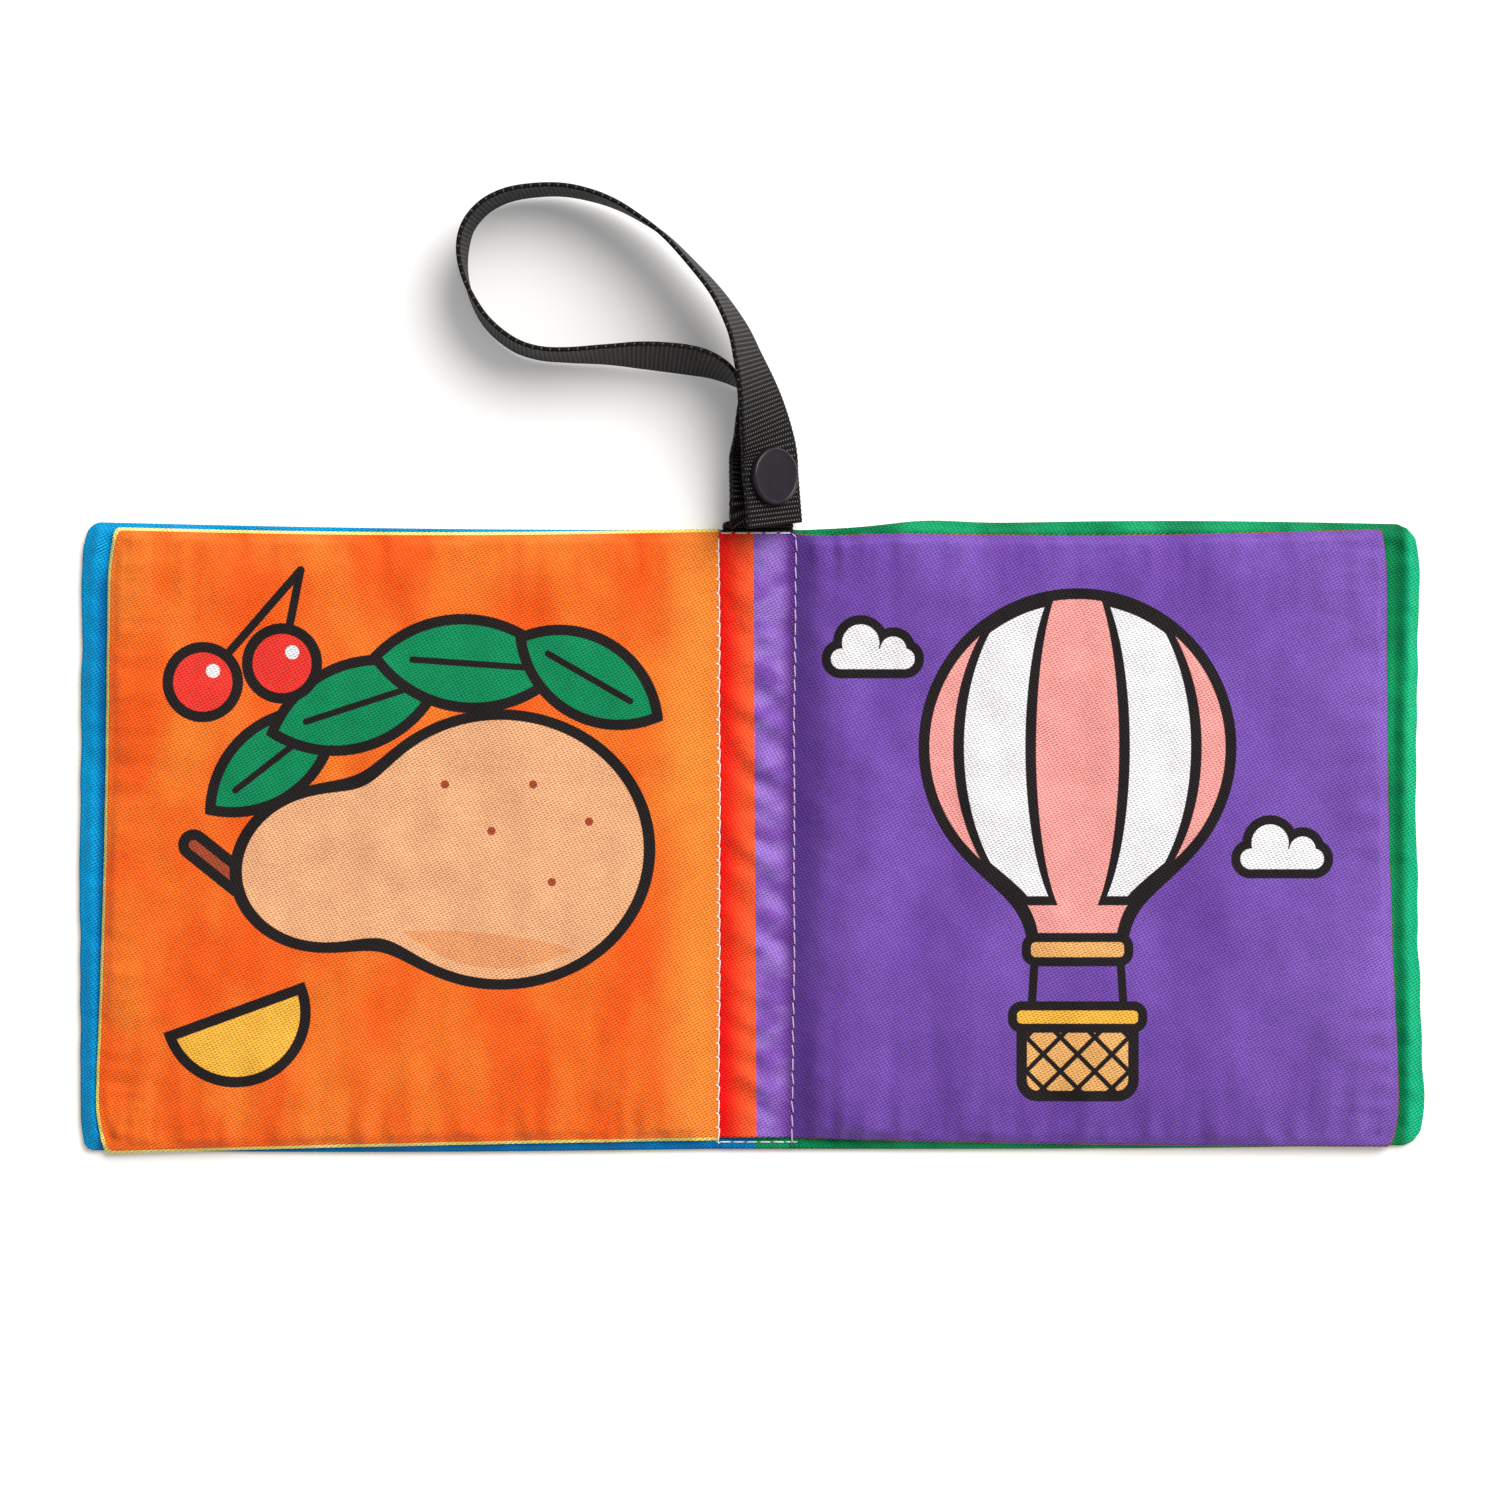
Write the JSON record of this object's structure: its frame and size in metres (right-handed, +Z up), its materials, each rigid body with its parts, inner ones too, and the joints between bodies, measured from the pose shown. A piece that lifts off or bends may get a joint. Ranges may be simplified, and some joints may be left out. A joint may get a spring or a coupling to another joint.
{
  "type": "crinkle cloth book",
  "caption": "Open cloth crinkle book with sewn spine, padded leaves holding crinkle film, and a webbing strap loop that closes with a plastic snap.",
  "frame": {"origin": "middle of the spine band's flat underside, on the table", "axes": "+X across the open pages to the right, +Y along the spine towards the strap, +Z up off the table"},
  "size_m": [0.2893, 0.2079, 0.02],
  "materials": {
    "cover_cloth": "printed satin-weave polyester",
    "blue_cloth": "satin-weave polyester",
    "green_cloth": "satin-weave polyester",
    "yellow_cloth": "satin-weave polyester",
    "orange_cloth": "printed satin-weave polyester",
    "purple_cloth": "printed satin-weave polyester",
    "brown_cloth": "satin-weave polyester",
    "crinkle_film": "thin crinkly film",
    "thread": "sewing thread",
    "webbing": "plain-weave polyester webbing",
    "snap_plastic": "satin moulded plastic"
  },
  "bodies": {
    "spine": {"spine_cover_outer": "cover_cloth", "spine_cover_inner": "blue_cloth", "spine_page_back": "yellow_cloth", "spine_page_face": "orange_cloth", "needle_thread": "thread", "bobbin_thread": "thread", "strap_tail": "webbing"},
    "left_page": {"left_page_back": "yellow_cloth", "left_page_film": "crinkle_film", "left_page_face": "orange_cloth"},
    "front_cover": {"front_cover_outer": "cover_cloth", "front_cover_film": "crinkle_film", "front_cover_inner": "blue_cloth"},
    "right_page": {"right_page_back": "brown_cloth", "right_page_film": "crinkle_film", "right_page_face": "purple_cloth"},
    "back_cover": {"back_cover_outer": "cover_cloth", "back_cover_film": "crinkle_film", "back_cover_inner": "green_cloth"},
    "strap": {"strap_loop": "webbing", "snap_stud": "snap_plastic", "snap_under_cap": "snap_plastic"},
    "strap_end": {"strap_end_flap": "webbing", "snap_cap": "snap_plastic", "snap_socket": "snap_plastic"}
  },
  "joints": [
    {"name": "left_page_turn", "type": "hinge", "parent": "spine", "child": "left_page", "pos_m": [-0.0082, 0, 0.00305], "axis": [0, 1, 0], "range_deg": [0, 170]},
    {"name": "front_cover_fold", "type": "hinge", "parent": "left_page", "child": "front_cover", "pos_m": [-0.0082, 0, -0.00015], "axis": [0, 1, 0], "range_deg": [-170, 0]},
    {"name": "right_page_turn", "type": "hinge", "parent": "spine", "child": "right_page", "pos_m": [0.0082, 0, 0.00305], "axis": [0, 1, 0], "range_deg": [-170, 0]},
    {"name": "back_cover_fold", "type": "hinge", "parent": "right_page", "child": "back_cover", "pos_m": [0.0082, 0, -0.00015], "axis": [0, 1, 0], "range_deg": [0, 170]},
    {"name": "strap_lift", "type": "hinge", "parent": "spine", "child": "strap", "pos_m": [0, 0.0672, 0.0043], "axis": [1, 0, 0], "range_deg": [0, 90]},
    {"name": "snap_open", "type": "hinge", "parent": "strap", "child": "strap_end", "pos_m": [0.00046, 0.09729, 0.01258], "axis": [-0.4757, -0.2179, 0.8522], "range_deg": [0, 60]}
  ]
}
